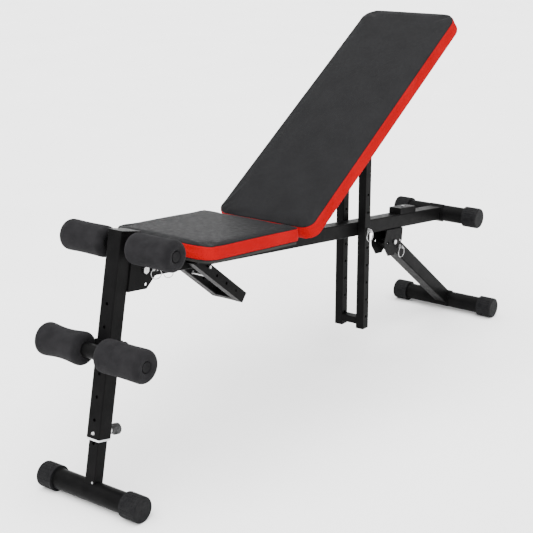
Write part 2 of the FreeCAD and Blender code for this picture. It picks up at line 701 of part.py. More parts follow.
# Rollers and their carriage
def roller(radius, inner, outer, along, up):
    foam = rod("x", radius, inner, outer, along, up)
    doc.recompute()
    ends = doc.addObject("Part::Fillet", "foam_ends")
    ends.Base = foam
    ends.Edges = [
        (index, size("foam_round"), size("foam_round"))
        for index, edge in enumerate(foam.Shape.Edges, start=1)
        if edge.Curve.TypeId == "Part::GeomCircle"
    ]
    return cut(ends, rod("x", "axle_radius + foam_clear", f"{inner} - {OVER}", f"{outer} + {OVER}", along, up))


def carriage_sleeve():
    """The square sleeve that slides on the post, with the hub of the lower axle in front."""
    half = "sleeve_side / 2"
    bore = "sleeve_bore / 2"
    shell = rounded(
        block(f"-{half}", half, f"-{half}", half, "sleeve_low", "sleeve_top"), ("z", "rail_round", anywhere)
    )
    arm_low = "lower_axle_s - hub_arm"
    arm_high = "lower_axle_s + hub_arm"
    arm = block("-hub_half", "hub_half", "lower_axle_d", f"-{half}", arm_low, arm_high)
    hub = rod("x", "hub_radius", "-hub_half", "hub_half", "lower_axle_d", "lower_axle_s")
    slot = block(f"-{bore}", bore, f"-{bore}", bore, f"sleeve_low - {OVER}", f"sleeve_top + {OVER}")
    axle_hole = through("axle_radius", "lower_axle_d", "lower_axle_s")
    pin_hole = rod("y", "pin_radius + pin_fit", 0, "sleeve_side", 0, "knob_s")
    nose = rod("y", "nose_radius", half, "sleeve_nose_rear", 0, "knob_s")
    return cut(fuse(shell, arm, hub, nose), slot, axle_hole, pin_hole)


def carriage_knob():
    """The moulded pull knob of the carriage on its steel pin."""
    pin = rod("y", "pin_radius", "rail_side / 2 + pin_short", "grip_shoulder", 0, "knob_s")
    neck = cone("y", "grip_neck", "grip_cone", "grip_front", "grip_shoulder", 0, "knob_s")
    grip = rod("y", "grip_radius", "grip_shoulder", "grip_rear", 0, "knob_s")
    low = f"grip_shoulder - {OVER}"
    high = f"grip_rear + {OVER}"
    return knurled(fuse(pin, neck, grip), "grip_radius", low, high, "knob_s", 14)


UPPER = ("upper_axle_d", "upper_axle_s")
LOWER = ("lower_axle_d", "lower_axle_s")
node("upper_roller_left", roller("foam_radius", "foam_inner", "foam_outer", *UPPER), POST)
node("upper_roller_right", roller("foam_radius", "-foam_outer", "-foam_inner", *UPPER), POST)
node("lower_roller_left", roller("low_foam_radius", "low_foam_inner", "low_foam_outer", *LOWER), POST)
node("lower_roller_right", roller("low_foam_radius", "-low_foam_outer", "-low_foam_inner", *LOWER), POST)
node("carriage_sleeve", carriage_sleeve(), POST)
node("lower_axle", axle("lower_axle_half", *LOWER, "low_foam_inner"), POST)
node("lower_axle_plugs", axle_plugs("lower_axle_half", *LOWER), POST)
node("carriage_knob", carriage_knob(), POST)


# Main rail
def main_rail():
    half = "rail_side / 2"
    tube = square_tube("y", (f"-{half}", half, f"-{half}", half), "rail_front", "rail_length", "tube_wall")
    end = through("foot_radius + saddle_wall", "rail_length", 0)
    pivot = through("bolt_radius", 0, 0)
    post_lock = through("hole_radius", "lock_t", 0)
    seat_lock = through("hole_radius", "seat_lock_t", "seat_lock_n")
    back_lock = through("hole_radius", "back_lock_t", 0)
    return cut(tube, end, pivot, post_lock, seat_lock, back_lock)


def pivot_bolts():
    """The two through bolts that the front post and the rear leg fold on."""
    post_reach = "rail_side / 2 + side_gap + plate + hinge_gap"
    leg_reach = "rail_side / 2 + plate"
    post_bolt = bolt("bolt_radius", "post_bolt_head", f"-({post_reach})", post_reach, 0, 0)
    leg_bolt = bolt(
        "bolt_radius", "leg_bolt_head", f"-({leg_reach})", leg_reach, "leg_pivot_t", "leg_pivot_n"
    )
    return group(post_bolt, leg_bolt)


STOP_MIDDLE = "(stop_front + stop_rear) / 2"


def backrest_stop():
    """The open channel on the rail that the lowered backrest rests on."""
    half = "rail_side / 2"
    top = "rail_side / 2 + stop_high"
    outer = rounded(
        block(f"-{half}", half, "stop_front", "stop_rear", half, top),
        ("y", "rail_round", lambda middle: middle.z > size("rail_side") / 2 + OVER),
    )
    hollow = block(
        f"-{half} + web", f"{half} - web", "stop_front + web", f"stop_rear + {OVER}", half, f"{top} - web"
    )
    return cut(outer, hollow, rod("z", "rivet_radius", 0, THROUGH, 0, STOP_MIDDLE))


def stop_screw():
    top = "rail_side / 2 + stop_high"
    shank = rod("z", "rivet_radius", f"rail_side / 2 + {OVER}", top, 0, STOP_MIDDLE)
    head = rod("z", "stop_screw_head", top, f"{top} + bolt_head / 2", 0, STOP_MIDDLE)
    return fuse(shank, head)


# Angles of the rear leg's lock holes about its pivot: in use, steep, flat and folded forward.
LEG_STOPS = (size("rail_drop") - size("leg_drop"), LEG_STEEP, 0, 180)


def rear_leg_bracket():
    """The channel under the rail between whose cheeks the rear leg turns."""
    top = "-rail_side / 2"
    outline = [
        ("leg_plate_front + 12", top),
        ("leg_plate_front", "leg_plate_toe"),
        ("leg_plate_front + 30", "leg_plate_low"),
        ("leg_plate_front + 62", "leg_plate_low"),
        ("leg_plate_rear", "leg_plate_heel"),
        ("leg_plate_rear", top),
    ]
    toe = size("leg_plate_front") + size("leg_head") / 2
    cheek = plate(outline, "rail_side / 2", "rail_side / 2 + plate")
    cheek = rounded(
        cheek, ("x", "foot_radius", lambda middle: middle.z < size("leg_plate_heel") and middle.y < toe)
    )
    holes = [through("bolt_radius", "leg_pivot_t", "leg_pivot_n")]
    for angle in LEG_STOPS:
        along = f"leg_pivot_t + leg_lock * {math.cos(math.radians(angle)):.6f}"
        up = f"leg_pivot_n + leg_lock * {math.sin(math.radians(angle)):.6f}"
        holes.append(through("hole_radius", along, up))
    web = block(
        "-rail_side / 2", "rail_side / 2", "leg_plate_front + 12", "leg_plate_rear", f"{top} - web", top
    )
    return cut(fuse(cheek, mirrored(cheek), web), *holes)


HINGES = (
    # place in the rail's frame, lug's radius, pin's radius
    (SEAT_HINGE, "seat_lug", "seat_pin_radius"),
    (BACK_HINGE, "back_lug", "back_bolt_radius"),
)


def hinge_lugs():
    """Four lugs on the rail's sides, two for the seat's hinge and two for the backrest's."""
    inner = "rail_side / 2"
    outer = "rail_side / 2 + lug_plate"
    lugs = []
    for hinge, lug, pin in HINGES:
        along = f"{hinge.y:.3f}"
        up = f"{hinge.z:.3f}"
        strap = block(inner, outer, f"{along} - {lug}", f"{along} + {lug}", "lug_low", up)
        eye = rod("x", lug, inner, outer, along, up)
        lugs.append(pair(cut(fuse(strap, eye), rod("x", pin, 0, THROUGH, along, up))))
    return group(*lugs)


def hinge_pins():
    """The long pins of the two hinges, headed at both ends."""
    pins = []
    for hinge, _, pin in HINGES:
        head = f"{pin} + 3"
        pins.append(bolt(pin, head, "-hinge_reach", "hinge_reach", f"{hinge.y:.3f}", f"{hinge.z:.3f}"))
    return group(*pins)


node("main_rail", main_rail(), RAIL)
node("pivot_bolts", pivot_bolts(), RAIL)
node("backrest_stop", backrest_stop(), RAIL)
node("stop_screw", stop_screw(), RAIL)
node("rear_leg_bracket", rear_leg_bracket(), RAIL)
node("hinge_lugs", hinge_lugs(), RAIL)
node("hinge_pins", hinge_pins(), RAIL)


# Rear leg
def rear_leg():
    wide = "leg_wide / 2"
    deep = "rail_side / 2"
    tube = square_tube("y", (f"-{wide}", wide, f"-{deep}", deep), "-leg_head", "leg_length", "tube_wall")
    foot = through("foot_radius + saddle_wall", "leg_length", 0)
    pivot = through("bolt_radius + running_fit", 0, 0)
    lock = through("hole_radius", "leg_lock", 0)
    return cut(tube, foot, pivot, lock)


node("rear_leg_tube", rear_leg(), LEG)


# Seat
def pad(low, high, bottom, top, inset, front_round, rear_round):
    """A flat panel with upright rounded corners."""
    half = f"pad_half - {inset}"
    panel = block(f"-({half})", half, f"{low} + {inset}", f"{high} - {inset}", bottom, top)
    middle_y = (number(low) + number(high)) / 2
    return rounded(
        panel,
        ("z", front_round, lambda middle: middle.y < middle_y),
        ("z", rear_round, lambda middle: middle.y > middle_y),
    )


def seat_hinge_angle():
    """The angle between the seat's board and its hinge pin."""
    inner = "rail_side / 2 + lug_plate + hinge_gap"
    outer = f"{inner} + lug_plate"
    front = "seat_hinge_u - angle_front"
    board = "-seat_thick - seat_board"
    leaf = block(inner, outer, front, "seat_hinge_u + angle_rear", "seat_hinge_n - angle_low", board)
    flange = block(
        inner, "seat_rail_in - hinge_gap", front, "seat_hinge_u + angle_flange", f"{board} - plate", board
    )
    hole = rod("x", "seat_pin_radius + running_fit", 0, THROUGH, "seat_hinge_u", "seat_hinge_n")
    return cut(fuse(leaf, flange), hole)


def seat_rail():
    bottom = "-seat_thick - seat_board - seat_tube"
    top = "-seat_thick - seat_board"
    sides = ("seat_rail_in", "seat_rail_in + seat_tube", bottom, top)
    tube = square_tube("y", sides, "seat_rail_front", "seat_rail_rear", "thin_wall", "light_round")
    return cut(tube, rod("x", "seat_pin_radius", 0, THROUGH, "seat_ladder_u", "seat_ladder_n"))


def seat_ladder_bolts():
    """The two short bolts that join the seat's rails and the ladder's bars."""
    place = ("seat_ladder_u", "seat_ladder_n")
    outside = "seat_rail_in + seat_tube"
    shank = rod("x", "seat_pin_radius", "ladder_in", outside, *place)
    head = hex_head("ladder_bolt_head", outside, f"{outside} + bolt_head", *place)
    return pair(fuse(shank, head))


node("seat_pad", pad("seat_front", "seat_rear", "-seat_thick", 0, 0, "seat_round", "seat_rear_round"), SEAT)
node(
    "seat_board",
    pad(
        "seat_front", "seat_rear", "-seat_thick - seat_board", "-seat_thick", "board_inset",
        "seat_round", "seat_rear_round",
    ),
    SEAT,
)
node("seat_rails", pair(seat_rail()), SEAT)
node("seat_hinge_angles", pair(seat_hinge_angle()), SEAT)
node("seat_ladder_bolts", seat_ladder_bolts(), SEAT)


def seat_ladder_bar():
    sides = ("ladder_in", "ladder_in + ladder_side", "seat_bar_low", "seat_bar_high")
    tube = square_tube("y", sides, 0, "seat_ladder_length", "thin_wall", "light_round")
    eye = rod("x", "seat_bar_high", "ladder_in", "ladder_in + ladder_side", 0, 0)
    holes = [rod("x", "hole_radius", 0, THROUGH, "seat_ladder_lock", 0)]
    for step in (1, 2, 3):
        along = f"seat_ladder_lock + {step} * seat_ladder_pitch"
        holes.append(rod("x", "hole_radius", 0, THROUGH, along, "seat_hole_n"))
    return cut(fuse(tube, eye), rod("x", "seat_pin_radius + running_fit", 0, THROUGH, 0, 0), *holes)


def crossbar(half, sides):
    """A hollow bar along X between two others, rounded along its length. sides are its outer faces."""
    y0, y1, z0, z1 = sides
    hollow = block(
        f"-{half} - {OVER}", f"{half} + {OVER}", f"({y0}) + thin_wall", f"({y1}) - thin_wall",
        f"({z0}) + thin_wall", f"({z1}) - thin_wall",
    )
    return cut(rounded(block(f"-{half}", half, y0, y1, z0, z1), ("x", "light_round", anywhere)), hollow)


def seat_ladder_crossbar():
    low = "seat_ladder_length - seat_tube"
    return crossbar("ladder_in", (low, "seat_ladder_length", "seat_bar_low", "seat_bar_high"))


def seat_ladder_rod():
    """The stiffening rod between the bars, with a washer at each end."""
    place = ("ladder_rod_u", "ladder_rod_n")
    shank = rod("x", "rod_radius", "-ladder_in", "ladder_in", *place)
    left = rod("x", "rod_washer", "ladder_in - washer_thick", "ladder_in", *place)
    right = rod("x", "rod_washer", "-ladder_in", "-ladder_in + washer_thick", *place)
    return fuse(shank, left, right)


def seat_lock_pin_end():
    """The seat lock pin's far end, which shows on the near bar."""
    return rod("x", "pin_radius", "ladder_in", "ladder_in + ladder_side + pin_end", "seat_ladder_lock", 0)


node("seat_ladder_bars", pair(seat_ladder_bar()), SEAT_LADDER)
node("seat_ladder_crossbar", seat_ladder_crossbar(), SEAT_LADDER)
node("seat_ladder_rod", seat_ladder_rod(), SEAT_LADDER)
node("seat_lock_pin_end", seat_lock_pin_end(), SEAT_LADDER)


# Backrest
def backrest_pad():
    """The padding, with a recess underneath for its board."""
    panel = pad("back_low", "back_top", "-back_thick", 0, 0, "back_low_round", "back_round")
    recess = pad(
        "back_low", "back_top", f"-back_thick - {OVER}", "-back_thick + back_board", "2 * board_inset",
        "back_low_round", "back_round",
    )
    return cut(panel, recess)


def back_rail():
    sides = ("back_rail_in", "back_rail_in + back_tube", "-back_thick - back_tube", "-back_thick")
    tube = square_tube("y", sides, "back_rail_low", "back_rail_top", "thin_wall", "light_round")
    return cut(tube, rod("x", "back_bolt_radius", 0, THROUGH, "back_ladder_u", "back_ladder_n"))


def back_crossbar(low):
    sides = (low, f"{low} + seat_tube", "-back_thick - seat_tube", "-back_thick")
    return crossbar("back_rail_in", sides)


def back_hinge_arm():
    """The flat arm from the lower crossbar to the hinge pin."""
    inner = "rail_side / 2 + lug_plate + hinge_gap"
    outer = f"{inner} + lug_plate"
    low = "back_hinge_n - back_arm_half"
    high = "back_hinge_n + back_arm_half"
    arm = block(inner, outer, "back_hinge_u", "back_rail_low", low, high)
    eye = rod("x", "back_arm_half", inner, outer, "back_hinge_u", "back_hinge_n")
    hole = rod("x", "back_bolt_radius + running_fit", 0, THROUGH, "back_hinge_u", "back_hinge_n")
    return cut(fuse(arm, eye), hole)


def back_ladder_bolt():
    """The long bolt through the backrest's rails and the ladder's bars."""
    reach = "back_rail_in + back_tube"
    return bolt("back_bolt_radius", "back_bolt_head", f"-({reach})", reach, "back_ladder_u", "back_ladder_n")


def back_ladder_bar():
    sides = ("ladder_in", "ladder_in + ladder_side", "-ladder_deep", "ladder_deep")
    tube = square_tube("z", sides, "-back_ladder_length", 0, "thin_wall", "light_round")
    eye = rod("x", "ladder_deep", "ladder_in", "ladder_in + ladder_side", 0, 0)
    holes = [
        rod("x", "hole_radius", 0, THROUGH, 0, f"-back_ladder_lock - {step} * back_ladder_pitch")
        for step in range(-2, 6)
    ]
    return cut(fuse(tube, eye), rod("x", "back_bolt_radius + running_fit", 0, THROUGH, 0, 0), *holes)


def back_ladder_crossbar():
    low = "-back_ladder_length + back_step"
    return crossbar("ladder_in", ("-ladder_deep", "ladder_deep", low, f"{low} + seat_tube"))


node("backrest_pad", backrest_pad(), BACK)
node(
    "backrest_board",
    pad(
        "back_low", "back_top", "-back_thick", "-back_thick + back_board", "2 * board_inset",
        "back_low_round", "back_round",
    ),
    BACK,
)
node("backrest_rails", pair(back_rail()), BACK)
node(
    "backrest_crossbars",
    group(back_crossbar("back_rail_low"), back_crossbar("back_rail_top - seat_tube")),
    BACK,
)
node("backrest_hinge_arms", pair(back_hinge_arm()), BACK)
node("backrest_ladder_bolt", back_ladder_bolt(), BACK)
node("backrest_ladder_bars", pair(back_ladder_bar()), BACK_LADDER)
node("backrest_ladder_crossbar", back_ladder_crossbar(), BACK_LADDER)


# Lock pins and their rings
def pull_pin(tip, face, crank=False):
    """A pull pin along X from its tip through a flange outside the face to a tab with the ring's eye."""
    out = 1 if number(face) > 0 else -1
    end = "crank_out" if crank else "flange_far"
    drop = "crank_down" if crank else "0"

    def span(start, distance):
        """From start to a distance outside the face, in rising order."""
        far = f"{face} + {out} * {distance}"
        return (start, far) if out > 0 else (far, start)

    shank = rod("x", "pin_radius", *span(tip, end), 0, 0)
    flange = rod("x", "flange_radius", *span(f"{face} + {out} * flange_near", "flange_far"), 0, 0)
    tab_low, tab_high = span(f"{face} + {out} * {end}", f"({end} + tab_long)")
    tab = block(tab_low, tab_high, "-tab_wide", "tab_wide", f"-tab_high - {drop}", f"tab_high - {drop}")
    eye = rod("y", "tab_hole", -THROUGH, THROUGH, f"{face} + {out} * ({end} + tab_long / 2)", f"-{drop}")
    pieces = [shank, flange, tab]
    if crank:
        arm_low, arm_high = span(f"{face} + {out} * ({end} - pin_radius)", f"({end} + pin_radius)")
        pieces.append(block(arm_low, arm_high, "-tab_wide", "tab_wide", f"-tab_high - {drop}", "pin_radius"))
    return cut(fuse(*pieces), eye)


def ring(face, radius, wire, end="flange_far", drop="0"):
    """The wire ring that hangs from a pull pin's eye."""
    out = 1 if number(face) > 0 else -1
    piece = doc.addObject("Part::Torus", "ring")
    turn = size("ring_turn") if radius == "small_ring_radius" else 0
    spin = FreeCAD.Rotation(FreeCAD.Vector(0, 0, 1), -turn)
    piece.Placement = FreeCAD.Placement(FreeCAD.Vector(), spin.multiply(TURNS["x"]))
    bind(piece, "Radius1", radius)
    bind(piece, "Radius2", wire)
    return put(piece, f"{face} + {out} * ({end} + tab_long / 2)", 0, f"-{radius} - {drop}")


POST_LOCK = frame_at(place_in(RAIL, size("lock_t"), 0), 0)
SEAT_LOCK = frame_at(place_in(SEAT_LADDER, size("seat_ladder_lock"), 0), 0)
BACK_LOCK = frame_at(place_in(BACK_LADDER, 0, -size("back_ladder_lock")), 0)
LEG_LOCK = frame_at(place_in(LEG, size("leg_lock"), 0), 0)
RAIL_TIP = "rail_side / 2 + pin_short"
CHEEK = "rail_side / 2 + side_gap + plate"
BAR = "ladder_in + ladder_side"
LEG_CHEEK = "rail_side / 2 + plate"

node("post_lock_pin", pull_pin(RAIL_TIP, CHEEK), POST_LOCK)
node("post_lock_ring", ring(CHEEK, "small_ring_radius", "small_ring_wire"), POST_LOCK)
node("seat_lock_pin", pull_pin(f"-({RAIL_TIP})", f"-({BAR})", crank=True), SEAT_LOCK)
node(
    "seat_lock_ring",
    ring(f"-({BAR})", "small_ring_radius", "small_ring_wire", "crank_out", "crank_down"),
    SEAT_LOCK,
)
node("backrest_lock_pin", pull_pin(RAIL_TIP, BAR), BACK_LOCK)
node("backrest_lock_ring", ring(BAR, "ring_radius", "ring_wire"), BACK_LOCK)
node("leg_lock_pin", pull_pin("leg_wide / 2 + pin_short", LEG_CHEEK), LEG_LOCK)
node("leg_lock_ring", ring(LEG_CHEEK, "ring_radius", "ring_wire"), LEG_LOCK)

doc.recompute()
for item in doc.Objects:
    if "Invalid" in item.State or "Error" in item.State:
        raise RuntimeError(f"{item.Name} ({item.Label}) failed: {item.State}")
for name, piece in NODES.items():
    if piece.Shape.isNull() or not piece.Shape.isValid() or not piece.Shape.Solids:
        raise RuntimeError(f"{name} has no valid solid")

os.makedirs("parts", exist_ok=True)
for name, piece in NODES.items():
    piece.Shape.exportStep(f"parts/{name}.step")
print(len(NODES), "sub-parts written")
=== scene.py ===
"""The looks of a folding decline sit-up bench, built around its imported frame."""

import json
import math

import bmesh
import bpy
from mathutils import Matrix, Vector, noise
from mathutils.kdtree import KDTree


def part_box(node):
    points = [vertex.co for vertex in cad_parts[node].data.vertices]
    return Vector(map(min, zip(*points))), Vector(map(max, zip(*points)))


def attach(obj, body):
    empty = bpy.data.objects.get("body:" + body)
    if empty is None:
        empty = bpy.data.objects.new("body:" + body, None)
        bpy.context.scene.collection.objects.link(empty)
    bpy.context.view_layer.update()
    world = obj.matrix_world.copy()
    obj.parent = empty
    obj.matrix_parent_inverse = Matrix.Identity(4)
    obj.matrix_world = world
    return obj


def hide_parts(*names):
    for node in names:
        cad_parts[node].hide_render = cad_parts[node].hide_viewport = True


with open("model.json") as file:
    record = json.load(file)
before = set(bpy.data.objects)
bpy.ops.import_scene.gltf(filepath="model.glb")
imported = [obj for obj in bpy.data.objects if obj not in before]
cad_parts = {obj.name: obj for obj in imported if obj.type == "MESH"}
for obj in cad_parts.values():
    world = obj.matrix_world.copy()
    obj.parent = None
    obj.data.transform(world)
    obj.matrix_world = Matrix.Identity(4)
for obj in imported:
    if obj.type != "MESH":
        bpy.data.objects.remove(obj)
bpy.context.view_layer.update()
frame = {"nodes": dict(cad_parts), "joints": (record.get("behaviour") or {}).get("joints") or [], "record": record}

MM = 0.001
NODES = frame["nodes"]
MOUNTS = {mount["name"]: mount for mount in frame["record"]["mounts"]}
JOINTS = {joint["name"]: joint for joint in frame["joints"]}


# ------------------------------------------------------------------ camera
CAMERA_AT = Vector((1.9037, -2.5790, 1.3942))
CAMERA_YAW = math.radians(37.92)
CAMERA_PITCH = math.radians(-17.94)
CAMERA_ROLL = math.radians(-1.34)
LENS_MM = 84.55
SENSOR_MM = 36
FARTHEST = 50


def make_camera():
    """A long lens in front of the bench, to its left, looking a little down."""
    ahead = Vector((
        -math.sin(CAMERA_YAW) * math.cos(CAMERA_PITCH),
        math.cos(CAMERA_YAW) * math.cos(CAMERA_PITCH),
        math.sin(CAMERA_PITCH),
    ))
    level = Vector((math.cos(CAMERA_YAW), math.sin(CAMERA_YAW), 0))
    above = level.cross(ahead)
    right = math.cos(CAMERA_ROLL) * level + math.sin(CAMERA_ROLL) * above
    up = -math.sin(CAMERA_ROLL) * level + math.cos(CAMERA_ROLL) * above
    data = bpy.data.cameras.new("camera")
    data.lens = LENS_MM
    data.sensor_width = SENSOR_MM
    data.clip_end = FARTHEST
    camera = bpy.data.objects.new("camera", data)
    turn = Matrix((right, up, -ahead)).transposed().to_4x4()
    camera.matrix_world = Matrix.Translation(CAMERA_AT) @ turn
    bpy.context.scene.collection.objects.link(camera)
    bpy.context.scene.camera = camera


# ------------------------------------------------------------------ materials
class Shader:
    """A node material whose bump and colour come from textures in the object's own metres."""

    def __init__(self, name, colour, roughness, metallic=0.0, specular=0.5):
        self.material = bpy.data.materials.new(name)
        self.material.use_nodes = True
        self.tree = self.material.node_tree
        self.surface = self.tree.nodes["Principled BSDF"]
        self.surface.inputs["Base Color"].default_value = (*colour, 1)
        self.surface.inputs["Roughness"].default_value = roughness
        self.surface.inputs["Metallic"].default_value = metallic
        self.surface.inputs["Specular IOR Level"].default_value = specular
        self.place = self.tree.nodes.new("ShaderNodeTexCoord").outputs["Object"]
        self.relief = None

    def link(self, source, target):
        """Joins one node's output to another's input."""
        self.tree.links.new(source, target)

    def noise(self, scale, detail=3.0, stretch=(1, 1, 1)):
        """Cloudy texture with about scale features to the metre."""
        mapping = self.tree.nodes.new("ShaderNodeMapping")
        mapping.inputs["Scale"].default_value = stretch
        self.link(self.place, mapping.inputs["Vector"])
        texture = self.tree.nodes.new("ShaderNodeTexNoise")
        texture.inputs["Scale"].default_value = scale
        texture.inputs["Detail"].default_value = detail
        self.link(mapping.outputs["Vector"], texture.inputs["Vector"])
        return texture.outputs["Fac"]

    def cells(self, scale):
        """Grain cells, dark along their borders."""
        texture = self.tree.nodes.new("ShaderNodeTexVoronoi")
        texture.feature = "DISTANCE_TO_EDGE"
        texture.inputs["Scale"].default_value = scale
        self.link(self.place, texture.inputs["Vector"])
        return texture.outputs["Distance"]

    def ramp(self, source, low, high, start=0.0, end=1.0):
        """source spread from one value or colour to another between start and end."""
        node = self.tree.nodes.new("ShaderNodeValToRGB")
        node.color_ramp.elements[0].position = start
        node.color_ramp.elements[1].position = end
        for element, value in zip(node.color_ramp.elements, (low, high)):
            element.color = (*value, 1) if hasattr(value, "__len__") else (value, value, value, 1)
        self.link(source, node.inputs["Fac"])
        return node.outputs["Color"]

    def colour(self, source, low, high, start=0.35, end=0.65):
        """Clouds the base colour from low to high by source."""
        self.link(self.ramp(source, low, high, start, end), self.surface.inputs["Base Color"])

    def roughness(self, source, low, high, start=0.3, end=0.7):
        """Clouds the roughness from low to high by source."""
        self.link(self.ramp(source, low, high, start, end), self.surface.inputs["Roughness"])

    def bump(self, source, depth, strength=1.0):
        """Raises source by depth in metres, on top of any earlier bump."""
        node = self.tree.nodes.new("ShaderNodeBump")
        node.inputs["Strength"].default_value = strength
        node.inputs["Distance"].default_value = depth
        self.link(source, node.inputs["Height"])
        if self.relief is not None:
            self.link(self.relief, node.inputs["Normal"])
        self.relief = node.outputs["Normal"]
        self.link(self.relief, self.surface.inputs["Normal"])


GRAIN = 520  # cells of the vinyl's grain to the metre


def powder_coat():
    """Black baked powder over steel: a satin skin with a fine orange peel."""
    shader = Shader("black_powder_coat", (0.003, 0.003, 0.0031), 0.4, specular=0.025)
    shader.colour(shader.noise(24), (0.0028, 0.0028, 0.0029), (0.0044, 0.0043, 0.0044))
    shader.roughness(shader.noise(60), 0.32, 0.46)
    shader.bump(shader.noise(520, 2), 0.00012)
    shader.bump(shader.noise(1900, 2), 0.00003)
    return shader.material


def zinc_plate():
    """Bright zinc on steel hardware, faintly brushed and clouded."""
    shader = Shader("zinc_plate", (0.36, 0.36, 0.365), 0.26, metallic=1.0)
    shader.colour(shader.noise(160), (0.27, 0.27, 0.27), (0.45, 0.45, 0.455))
    shader.roughness(shader.noise(300, 4, (0.2, 1, 1)), 0.18, 0.36)
    shader.bump(shader.noise(900, 3, (0.15, 1, 1)), 0.00003)
    return shader.material


def cast_metal():
    """The grey of an unpainted cast knob."""
    shader = Shader("grey_cast_metal", (0.04, 0.04, 0.041), 0.5, metallic=0.55, specular=0.2)
    shader.colour(shader.noise(220), (0.028, 0.028, 0.029), (0.052, 0.052, 0.053))
    shader.roughness(shader.noise(400), 0.42, 0.6)
    shader.bump(shader.noise(1400), 0.00008)
    return shader.material


def moulded_plastic(name, low, high, roughness, specular):
    """Moulded plastic in a colour between low and high, with a fine texture."""
    shader = Shader(name, high, roughness, specular=specular)
    shader.colour(shader.noise(70), low, high)
    shader.roughness(shader.noise(120), roughness - 0.06, roughness + 0.06)
    shader.bump(shader.noise(1600, 2), 0.00004)
    return shader.material


def rubber():
    """Moulded black rubber with a dusty, slightly uneven surface."""
    shader = Shader("black_rubber", (0.006, 0.006, 0.0065), 0.6, specular=0.06)
    shader.colour(shader.noise(90), (0.0045, 0.0045, 0.005), (0.008, 0.008, 0.0085))
    shader.roughness(shader.noise(200), 0.52, 0.72)
    shader.bump(shader.noise(1100), 0.00008)
    return shader.material


def foam():
    """Closed-cell foam: matt, with fine pores and a soft bloom at the edges."""
    shader = Shader("black_foam", (0.008, 0.0077, 0.0085), 0.85, specular=0.05)
    shader.surface.inputs["Sheen Weight"].default_value = 0.04
    shader.surface.inputs["Sheen Roughness"].default_value = 0.5
    shader.surface.inputs["Sheen Tint"].default_value = (0.5, 0.5, 0.52, 1)
    shader.colour(shader.noise(45, 4), (0.0068, 0.0066, 0.0072), (0.0105, 0.0101, 0.011))
    shader.bump(shader.ramp(shader.cells(700), 0.0, 1.0, 0.0, 0.25), 0.00022)
    shader.bump(shader.noise(160, 4), 0.0003)
    return shader.material


def vinyl(name, low, high, roughness, specular):
    """Coated upholstery cloth with a pebbled leather grain."""
    shader = Shader(name, high, roughness, specular=specular)
    shader.colour(shader.noise(14, 4), low, high)
    shader.roughness(shader.noise(90, 4), roughness - 0.05, roughness + 0.07)
    shader.bump(shader.noise(22, 3), 0.0005, 0.3)
    shader.bump(shader.ramp(shader.cells(GRAIN), 0.0, 1.0, 0.0, 0.3), 0.00018)
    shader.bump(shader.noise(2400, 2), 0.00004)
    return shader.material


def lining():
    """The black woven backing cloth under a pad."""
    shader = Shader("black_lining", (0.008, 0.008, 0.008), 0.95, specular=0.1)
    shader.colour(shader.noise(600, 2), (0.005, 0.005, 0.005), (0.012, 0.012, 0.012))
    shader.bump(shader.noise(1500, 2, (1, 0.25, 1)), 0.0002)
    return shader.material


def stained_board():
    """Fibreboard stained black, with its pressed grain."""
    shader = Shader("stained_board", (0.01, 0.0095, 0.009), 0.7, specular=0.2)
    shader.colour(shader.noise(60, 6, (1, 0.12, 1)), (0.006, 0.006, 0.0055), (0.015, 0.014, 0.0125))
    shader.bump(shader.noise(300, 5, (1, 0.12, 1)), 0.00015)
    return shader.material


MATERIALS = {
    "black_frame": powder_coat(),
    "zinc_steel": zinc_plate(),
    "grey_knob": cast_metal(),
    "black_knob": moulded_plastic(
        "black_plastic", (0.0055, 0.0054, 0.0058), (0.0085, 0.0083, 0.0088), 0.7, 0.05
    ),
    "black_rubber": rubber(),
    "grey_bush": moulded_plastic(
        "grey_plastic", (0.50, 0.51, 0.52), (0.60, 0.61, 0.62), 0.5, 0.4
    ),
    "black_foam": foam(),
    "black_cover": vinyl("black_vinyl", (0.0058, 0.0058, 0.0063), (0.0074, 0.0074, 0.008), 0.46, 0.045),
    "dark_board": stained_board(),
}
RED_VINYL = vinyl("red_vinyl", (0.23, 0.0009, 0.0027), (0.27, 0.0011, 0.0034), 0.5, 0.008)
LINING = lining()
SHARP = math.radians(32)  # edges turned further than this stay sharp


def dress_nodes():
    """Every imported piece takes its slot's material, and is smooth between its sharp edges."""
    for part in frame["record"]["subparts"]:
        mesh = NODES[part["node"]].data
        mesh.materials.clear()
        mesh.materials.append(MATERIALS[part["material_slot"]])
        mesh.shade_smooth()
        mesh.set_sharp_from_angle(angle=SHARP)


# ------------------------------------------------------------------ pads
HELD = 14 * MM  # height above the underside below which the cover is held still
INSET = 0.6  # of the crown, drawn in at each side before the pad swells
PRESSURE = 4.0
SWELL_FRAMES = 20
PROUD = 1.5 * MM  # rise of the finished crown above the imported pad
WRINKLES = 9  # to the metre
GROOVE = 1.5 * MM
GROOVE_DEPTH = 1.0 * MM
ON_SEAM = 0.8 * MM  # vertices this near the seam's height count as on it
UNDERSIDE = -0.7  # faces whose normal points down more than this are lining


def corners(mesh):
    """The lowest and highest corner of a mesh's box."""
    low = Vector(min(v.co[i] for v in mesh.vertices) for i in range(3))
    high = Vector(max(v.co[i] for v in mesh.vertices) for i in range(3))
    return low, high


def apply_modifiers(piece):
    """Replaces a piece's mesh with what its modifiers make of it."""
    depsgraph = bpy.context.evaluated_depsgraph_get()
    final = bpy.data.meshes.new_from_object(piece.evaluated_get(depsgraph))
    piece.modifiers.clear()
    piece.data = final


def remesh(piece, voxel):
    """Rebuilds a mesh in even squares about voxel wide."""
    modifier = piece.modifiers.new("remesh", "REMESH")
    modifier.mode = "VOXEL"
    modifier.voxel_size = voxel
    modifier.use_smooth_shade = True
    apply_modifiers(piece)


